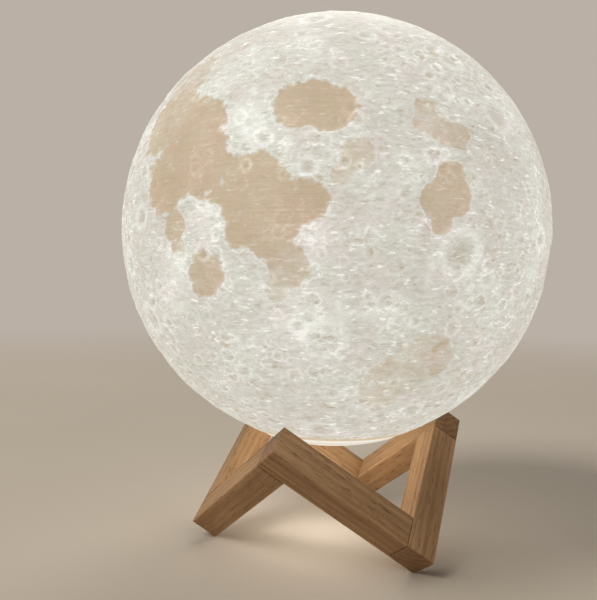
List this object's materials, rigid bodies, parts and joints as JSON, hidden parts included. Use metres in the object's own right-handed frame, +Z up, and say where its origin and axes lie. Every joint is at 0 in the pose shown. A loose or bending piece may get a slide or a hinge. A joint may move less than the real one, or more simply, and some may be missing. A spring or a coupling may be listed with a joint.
{
  "type": "moon lamp",
  "caption": "Glowing cratered moon globe with a twist-in rechargeable light module, resting loose on a zigzag stand of square wooden bars.",
  "frame": {"origin": "on the floor plane, straight under the centre of the globe", "axes": "+Z up through the globe's centre; -Y is the front, between the two front feet; +X to the right seen from the front"},
  "size_m": [0.15, 0.15, 0.1841],
  "materials": {
    "wood": "oiled, eased edges",
    "dowel_wood": "raw",
    "moon_skin": "translucent printed plastic, lit from inside",
    "white_plastic": "satin moulded",
    "ring_metal": "brushed",
    "contact_metal": "bright",
    "black_plastic": "matte",
    "clear_plastic": "clear",
    "board": "solder mask",
    "lamp_board": "white solder mask on aluminium",
    "chip_black": "matte",
    "screw_steel": "plain",
    "cell_wrap": "foil pouch",
    "foam": "foam",
    "lead_skin": "soft insulation",
    "warm_lamp": "phosphor gel",
    "cool_lamp": "phosphor gel"
  },
  "bodies": {
    "stand": {"front_bar_left": "wood", "front_bar_right": "wood", "right_bar_front": "wood", "right_bar_rear": "wood", "left_bar_rear": "wood", "left_bar_front": "wood", "apex_dowels": "dowel_wood", "foot_dowels": "dowel_wood"},
    "moon": {"moon_shell": "moon_skin", "lock_ring": "white_plastic"},
    "light_module": {"base_cap": "white_plastic", "touch_ring": "ring_metal", "touch_contact": "contact_metal", "charge_socket": "black_plastic", "charge_light": "clear_plastic", "control_board": "board", "control_chips": "chip_black", "battery_plug": "white_plastic", "board_screws": "screw_steel", "module_tower": "white_plastic", "battery": "cell_wrap", "battery_pad": "foam", "battery_leads": "lead_skin", "led_board": "lamp_board", "warm_leds": "warm_lamp", "cool_leds": "cool_lamp", "led_screws": "screw_steel", "led_leads": "lead_skin"}
  },
  "joints": [
    {"name": "moon_lift", "type": "slide", "parent": "stand", "child": "moon", "axis": [0, 0, 1], "range_m": [0, 0.06]},
    {"name": "module_twist", "type": "hinge", "parent": "moon", "child": "light_module", "pos_m": [0, 0, 0.04], "axis": [0, 0, 1], "range_deg": [0, 28]}
  ]
}
